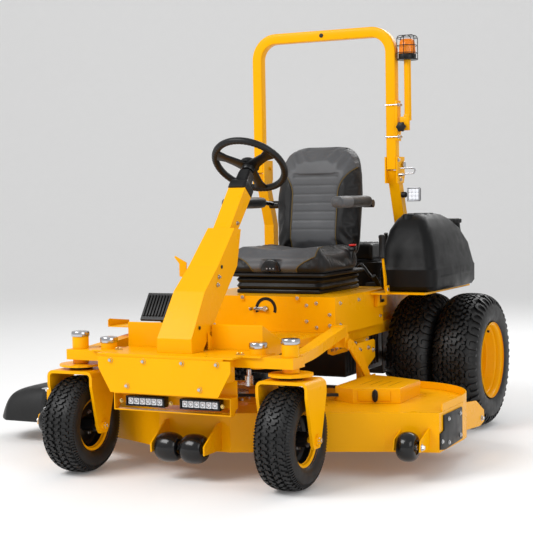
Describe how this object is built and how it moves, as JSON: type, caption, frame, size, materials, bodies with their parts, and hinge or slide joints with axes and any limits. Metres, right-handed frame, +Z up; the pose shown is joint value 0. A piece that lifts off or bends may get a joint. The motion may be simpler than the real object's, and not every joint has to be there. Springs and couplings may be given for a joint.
{
  "type": "zero turn mower",
  "caption": "Ride-on zero-turn mower: steering wheel, steered front forks, dual rear wheels, lifting side-discharge deck, sprung seat, folding roll bar with beacon.",
  "frame": {"origin": "centre of the bounding box, on the ground under the tyres", "axes": "+Z up, -Y is the direction of travel, +X the machine's left-hand side"},
  "size_m": [2.1474, 2.2832, 1.833],
  "materials": {
    "yellow_paint": "gloss powder coat",
    "black_paint": "satin black",
    "tyre_rubber": "matt moulded rubber",
    "belt_rubber": "matt rubber",
    "black_plastic": "grained moulded plastic",
    "seat_vinyl": "grey and black textured vinyl",
    "bright_steel": "zinc plated steel",
    "engine_metal": "dark cast metal",
    "amber_lens": "clear amber plastic"
  },
  "bodies": {
    "chassis": {"main_frame": "yellow_paint", "front_axle": "yellow_paint", "front_plate": "yellow_paint", "light_bracket": "yellow_paint", "light_bar_left": "black_paint", "light_bar_right": "black_paint", "steering_tower": "yellow_paint", "steering_column": "black_paint", "foot_pan": "yellow_paint", "seat_panel": "yellow_paint", "seat_base": "black_paint", "fuel_tank": "black_plastic", "engine": "engine_metal", "muffler": "bright_steel", "drive_axles": "engine_metal", "roll_bar_leg_left": "yellow_paint", "roll_bar_leg_right": "yellow_paint"},
    "steering_wheel": {"steering_wheel": "black_plastic"},
    "tie_rod": {"tie_rod": "bright_steel"},
    "foot_pedal": {"foot_pedal": "black_paint"},
    "height_lever": {"height_lever": "bright_steel"},
    "brake_lever": {"brake_lever": "yellow_paint"},
    "seat": {"seat_frame": "black_plastic", "seat_cushion": "seat_vinyl"},
    "seat_back": {"seat_back": "seat_vinyl"},
    "armrest_left": {"armrest_left": "black_plastic"},
    "armrest_right": {"armrest_right": "black_plastic"},
    "fuel_cap": {"fuel_cap": "black_plastic"},
    "deck": {"deck_shell": "yellow_paint", "belt_cover_left": "yellow_paint", "belt_cover_right": "yellow_paint", "deck_belt": "belt_rubber"},
    "front_rollers": {"front_rollers": "black_plastic"},
    "discharge_chute": {"discharge_chute": "black_plastic"},
    "roll_bar": {"roll_bar_hoop": "yellow_paint"},
    "beacon_mast": {"beacon_mast": "yellow_paint", "beacon": "amber_lens"},
    "work_light": {"work_light": "black_plastic"},
    "fork_left": {"fork_left": "yellow_paint"},
    "front_wheel_left": {"front_rim_left": "black_paint", "front_tyre_left": "tyre_rubber"},
    "rear_wheels_left": {"rear_rims_left": "yellow_paint", "rear_tyre_outer_left": "tyre_rubber", "rear_tyre_inner_left": "tyre_rubber"},
    "side_roller_left": {"side_roller_left": "black_plastic"},
    "rear_wheel_small_left": {"rear_wheel_small_left": "black_plastic"},
    "lift_arm_left": {"lift_arm_left": "yellow_paint"},
    "fork_right": {"fork_right": "yellow_paint"},
    "front_wheel_right": {"front_rim_right": "black_paint", "front_tyre_right": "tyre_rubber"},
    "rear_wheels_right": {"rear_rims_right": "yellow_paint", "rear_tyre_outer_right": "tyre_rubber", "rear_tyre_inner_right": "tyre_rubber"},
    "side_roller_right": {"side_roller_right": "black_plastic"},
    "rear_wheel_small_right": {"rear_wheel_small_right": "black_plastic"},
    "lift_arm_right": {"lift_arm_right": "yellow_paint"},
    "blade_left": {"blade_spindle_left": "bright_steel"},
    "blade_centre": {"blade_spindle_centre": "bright_steel"},
    "blade_right": {"blade_spindle_right": "bright_steel"}
  },
  "joints": [
    {"name": "steering_turn", "type": "hinge", "parent": "chassis", "child": "steering_wheel", "pos_m": [0.18071, -0.35444, 1.202], "axis": [0, 0.6428, 0.766], "range_deg": [-120, 120]},
    {"name": "kingpin_left_turn", "type": "hinge", "parent": "chassis", "child": "fork_left", "pos_m": [0.63771, -0.94844, 0.45], "axis": [0, 0, 1], "range_deg": [-50, 50]},
    {"name": "kingpin_right_turn", "type": "hinge", "parent": "chassis", "child": "fork_right", "pos_m": [-0.27629, -0.94844, 0.45], "axis": [0, 0, 1], "range_deg": [-50, 50]},
    {"name": "tie_rod_slide", "type": "slide", "parent": "chassis", "child": "tie_rod", "axis": [1, 0, 0], "range_m": [-0.012, 0.012]},
    {"name": "deck_lift", "type": "slide", "parent": "chassis", "child": "deck", "axis": [0, 0, 1], "range_m": [0, 0.09]},
    {"name": "lift_arm_left_turn", "type": "hinge", "parent": "chassis", "child": "lift_arm_left", "pos_m": [0.57371, -0.24844, 0.462], "axis": [1, 0, 0], "range_deg": [0, 26]},
    {"name": "lift_arm_right_turn", "type": "hinge", "parent": "chassis", "child": "lift_arm_right", "pos_m": [-0.21229, -0.24844, 0.462], "axis": [1, 0, 0], "range_deg": [0, 26]},
    {"name": "chute_swing", "type": "hinge", "parent": "deck", "child": "discharge_chute", "pos_m": [-0.73314, -0.33844, 0.2439], "axis": [0, 1, 0], "range_deg": [0, 80]},
    {"name": "seat_suspension", "type": "slide", "parent": "chassis", "child": "seat", "axis": [0, 0, 1], "range_m": [-0.05, 0], "stiffness_N_per_m": 12000, "springref_m": 0.09},
    {"name": "seat_recline", "type": "hinge", "parent": "seat", "child": "seat_back", "pos_m": [0.18071, 0.34956, 0.788], "axis": [1, 0, 0], "range_deg": [-12, 6]},
    {"name": "armrest_left_tilt", "type": "hinge", "parent": "seat_back", "child": "armrest_left", "pos_m": [0.42071, 0.36356, 1.03], "axis": [1, 0, 0], "range_deg": [-85, 0]},
    {"name": "armrest_right_tilt", "type": "hinge", "parent": "seat_back", "child": "armrest_right", "pos_m": [-0.05929, 0.36356, 1.03], "axis": [1, 0, 0], "range_deg": [-85, 0]},
    {"name": "brake_lever_pull", "type": "hinge", "parent": "chassis", "child": "brake_lever", "pos_m": [0.58071, 0.14956, 0.655], "axis": [1, 0, 0], "range_deg": [0, 30]},
    {"name": "pedal_press", "type": "hinge", "parent": "chassis", "child": "foot_pedal", "pos_m": [-0.13929, -0.53844, 0.52], "axis": [1, 0, 0], "range_deg": [0, 20], "stiffness_Nm_per_rad": 12, "springref_deg": -34.38},
    {"name": "height_lever_turn", "type": "hinge", "parent": "chassis", "child": "height_lever", "pos_m": [0.19171, -0.25444, 0.594], "axis": [0, 1, 0], "range_deg": [-50, 50]},
    {"name": "roll_bar_fold", "type": "hinge", "parent": "chassis", "child": "roll_bar", "pos_m": [0.18071, 0.45856, 1.204], "axis": [1, 0, 0], "range_deg": [-95, 0]},
    {"name": "beacon_mast_fold", "type": "hinge", "parent": "roll_bar", "child": "beacon_mast", "pos_m": [0.57271, 0.40656, 1.373], "axis": [0, 1, 0], "range_deg": [0, 95]},
    {"name": "work_light_tilt", "type": "hinge", "parent": "chassis", "child": "work_light", "pos_m": [0.56071, 0.45756, 1.067], "axis": [1, 0, 0], "range_deg": [-25, 25]},
    {"name": "fuel_cap_turn", "type": "hinge", "parent": "chassis", "child": "fuel_cap", "pos_m": [0.70071, 0.71156, 0.94], "axis": [0, 0, 1], "range_deg": [0, 180]},
    {"name": "front_rollers_spin", "type": "hinge", "parent": "deck", "child": "front_rollers", "pos_m": [0.18071, -0.95844, 0.125], "axis": [1, 0, 0], "continuous": true},
    {"name": "front_wheel_left_spin", "type": "hinge", "parent": "fork_left", "child": "front_wheel_left", "pos_m": [0.63771, -0.95444, 0.19], "axis": [1, 0, 0], "continuous": true},
    {"name": "rear_wheels_left_spin", "type": "hinge", "parent": "chassis", "child": "rear_wheels_left", "pos_m": [0.71271, 0.60156, 0.305], "axis": [1, 0, 0], "continuous": true},
    {"name": "side_roller_left_spin", "type": "hinge", "parent": "deck", "child": "side_roller_left", "pos_m": [0.98571, -0.68044, 0.135], "axis": [1, 0, 0], "continuous": true},
    {"name": "rear_wheel_small_left_spin", "type": "hinge", "parent": "deck", "child": "rear_wheel_small_left", "pos_m": [1.00771, 0.02356, 0.135], "axis": [1, 0, 0], "continuous": true},
    {"name": "front_wheel_right_spin", "type": "hinge", "parent": "fork_right", "child": "front_wheel_right", "pos_m": [-0.27629, -0.95444, 0.19], "axis": [1, 0, 0], "continuous": true},
    {"name": "rear_wheels_right_spin", "type": "hinge", "parent": "chassis", "child": "rear_wheels_right", "pos_m": [-0.35129, 0.60156, 0.305], "axis": [1, 0, 0], "continuous": true},
    {"name": "side_roller_right_spin", "type": "hinge", "parent": "deck", "child": "side_roller_right", "pos_m": [-0.62429, -0.68044, 0.135], "axis": [1, 0, 0], "continuous": true},
    {"name": "rear_wheel_small_right_spin", "type": "hinge", "parent": "deck", "child": "rear_wheel_small_right", "pos_m": [-0.64629, 0.02356, 0.135], "axis": [1, 0, 0], "continuous": true},
    {"name": "blade_left_spin", "type": "hinge", "parent": "deck", "child": "blade_left", "pos_m": [0.75571, -0.29844, 0.2], "axis": [0, 0, 1], "continuous": true},
    {"name": "blade_centre_spin", "type": "hinge", "parent": "deck", "child": "blade_centre", "pos_m": [0.18071, -0.52844, 0.2], "axis": [0, 0, 1], "continuous": true},
    {"name": "blade_right_spin", "type": "hinge", "parent": "deck", "child": "blade_right", "pos_m": [-0.39429, -0.29844, 0.2], "axis": [0, 0, 1], "continuous": true}
  ],
  "couplings": [
    {"joint": "kingpin_left_turn", "follows": "steering_turn", "ratio": 0.41},
    {"joint": "kingpin_right_turn", "follows": "steering_turn", "ratio": 0.41},
    {"joint": "tie_rod_slide", "follows": "steering_turn", "m_per_rad": 0.0055},
    {"joint": "lift_arm_left_turn", "follows": "deck_lift", "rad_per_m": 5},
    {"joint": "lift_arm_right_turn", "follows": "deck_lift", "rad_per_m": 5},
    {"joint": "blade_centre_spin", "follows": "blade_left_spin", "ratio": 1},
    {"joint": "blade_right_spin", "follows": "blade_left_spin", "ratio": 1}
  ]
}
